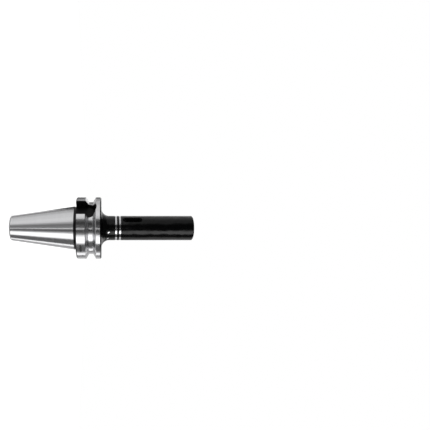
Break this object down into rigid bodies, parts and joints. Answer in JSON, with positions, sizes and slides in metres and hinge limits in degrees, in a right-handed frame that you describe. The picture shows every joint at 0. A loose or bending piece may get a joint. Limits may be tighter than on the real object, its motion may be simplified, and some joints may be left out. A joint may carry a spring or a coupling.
{
  "type": "morse taper adapter",
  "caption": "Steel tool holder with a steep spindle taper, a grooved flange with two drive slots, and a long slim nose with a Morse taper socket and a drift slot.",
  "frame": {"origin": "on the axis at the gauge plane of the spindle taper", "axes": "+Z along the axis from the small end of the shank towards the nose, with the drive slots and the drift slot facing +Y and -Y"},
  "size_m": [0.063, 0.063, 0.1854],
  "materials": {
    "steel": "ground bright on the taper and round the flange, black oxide on the nose, the slots and the faces between"
  },
  "bodies": {
    "root": {"adapter_body": "steel"}
  },
  "joints": []
}
